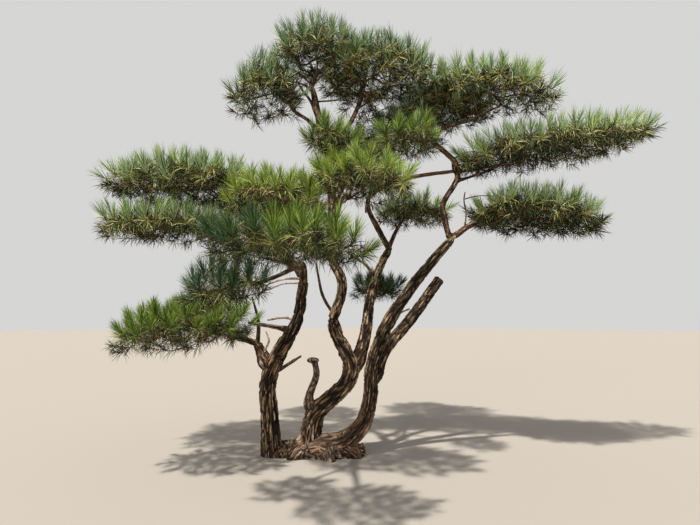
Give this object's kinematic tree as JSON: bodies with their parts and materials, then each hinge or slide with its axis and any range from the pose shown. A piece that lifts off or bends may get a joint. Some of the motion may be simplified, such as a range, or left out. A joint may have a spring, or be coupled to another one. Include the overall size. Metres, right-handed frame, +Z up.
{
  "type": "pine tree",
  "caption": "Landscape pine trained in tiers, with several stems from one root crown and flat pads of needles on bent boughs.",
  "frame": {"origin": "on the flat cut at ground level under the root crown, between the feet of the stems", "axes": "+Z up, +X towards the long right-hand tier, +Y away from the side that the picture shows"},
  "size_m": [4.8687, 3.7791, 3.8567],
  "materials": {
    "old_bark": "thick dark brown-grey bark, plated and deeply cracked, rough and matt",
    "bark": "thinner brown bark in small scales, redder on the upper boughs, matt",
    "dead_wood": "bare weathered wood, pale grey-brown and matt",
    "needles": "long living needles in sprays, blue-green to yellow-green, slightly glossy"
  },
  "bodies": {
    "root": {"root_crown": "old_bark", "left_stem": "old_bark", "centre_stem": "old_bark", "right_stem": "old_bark", "left_arm": "bark", "left_low_bough": "bark", "left_dead_spur": "dead_wood", "inner_bough": "dead_wood", "left_middle_bough": "bark", "front_bough": "bark", "front_low_bough": "bark", "dead_stub": "dead_wood", "leader": "bark", "middle_stem": "bark", "crooked_bough": "bark", "cross_bough": "bark", "sawn_limb": "bark", "right_upright": "bark", "right_low_bough": "bark", "crown_left_bough": "bark", "crown_middle_bough": "bark", "crown_heart_bough": "bark", "left_high_bough": "bark", "near_left_bough": "bark", "near_middle_bough": "bark", "near_upper_bough": "bark", "near_right_bough": "bark", "back_left_bough": "bark", "back_middle_bough": "bark", "back_right_bough": "bark", "back_low_bough": "bark", "crown_top": "needles", "crown_left": "needles", "crown_middle": "needles", "crown_right": "needles", "right_tier": "needles", "right_low": "needles", "left_high": "needles", "left_middle": "needles", "near_left": "needles", "near_middle": "needles", "near_upper": "needles", "front": "needles", "front_low": "needles", "left_low": "needles", "back_left": "needles", "back_middle": "needles", "back_right": "needles", "back_low": "needles", "crown_heart": "needles", "near_right": "needles"}
  },
  "joints": []
}
